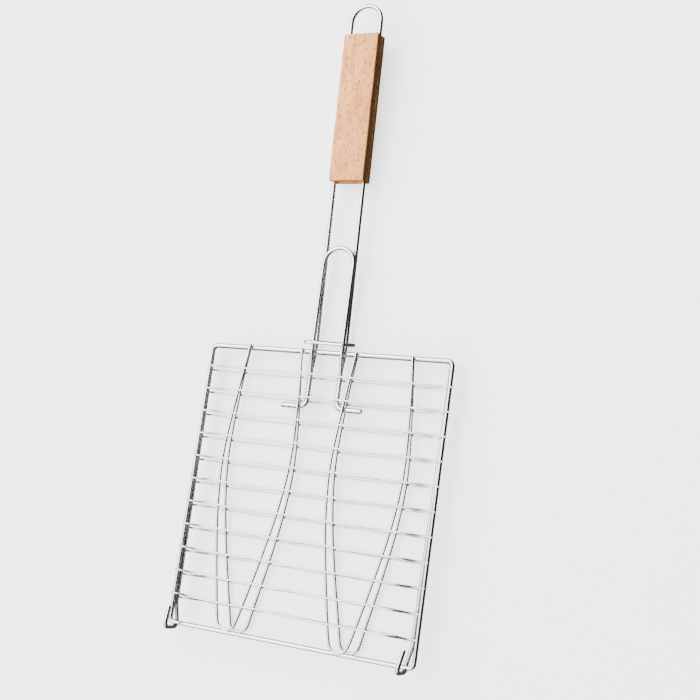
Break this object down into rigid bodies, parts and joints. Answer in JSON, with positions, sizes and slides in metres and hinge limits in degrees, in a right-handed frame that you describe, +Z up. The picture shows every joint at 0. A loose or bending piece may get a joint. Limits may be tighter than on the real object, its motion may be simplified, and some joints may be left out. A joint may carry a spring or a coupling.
{
  "type": "grill basket",
  "caption": "Flat hinged wire grill basket with fish-shaped outlines, a long wooden grip and a sliding latch ring.",
  "frame": {"origin": "middle of the footprint on the floor that the closed basket lies on", "axes": "+Y towards the hanging loop, +Z up out of the front leaf, +X to the right seen from the front leaf with the handle away"},
  "size_m": [0.258, 0.6064, 0.0346],
  "materials": {
    "frame_wire": "bright plated steel wire",
    "bar_wire": "bright plated thin steel wire",
    "screw_steel": "zinc plated",
    "wood": "sanded, lightly oiled beech"
  },
  "bodies": {
    "back_leaf": {"back_frame_with_hooks": "frame_wire", "back_bar_01": "bar_wire", "back_bar_02": "bar_wire", "back_bar_03": "bar_wire", "back_bar_04": "bar_wire", "back_bar_05": "bar_wire", "back_bar_06": "bar_wire", "back_bar_07": "bar_wire", "back_bar_08": "bar_wire", "back_bar_09": "bar_wire", "back_bar_10": "bar_wire", "back_bar_11": "bar_wire", "back_fish_outline_left": "frame_wire", "back_fish_outline_right": "frame_wire", "long_handle_wire": "frame_wire", "grip_screw_1": "screw_steel", "grip_screw_2": "screw_steel", "grip_slab_front": "wood", "grip_slab_back": "wood"},
    "front_leaf": {"front_frame": "frame_wire", "front_bar_01": "bar_wire", "front_bar_02": "bar_wire", "front_bar_03": "bar_wire", "front_bar_04": "bar_wire", "front_bar_05": "bar_wire", "front_bar_06": "bar_wire", "front_bar_07": "bar_wire", "front_bar_08": "bar_wire", "front_bar_09": "bar_wire", "front_bar_10": "bar_wire", "front_bar_11": "bar_wire", "front_fish_outline_left": "frame_wire", "front_fish_outline_right": "frame_wire", "short_handle_loop": "frame_wire"},
    "latch_ring": {"latch_ring": "frame_wire"}
  },
  "joints": [
    {"name": "leaf_hinge", "type": "hinge", "parent": "back_leaf", "child": "front_leaf", "pos_m": [0.00024, -0.29694, 0.01874], "axis": [1, 0, 0], "range_deg": [0, 178]},
    {"name": "ring_slide", "type": "slide", "parent": "back_leaf", "child": "latch_ring", "axis": [0, 0.9999, -0.0172], "range_m": [0, 0.15]}
  ]
}
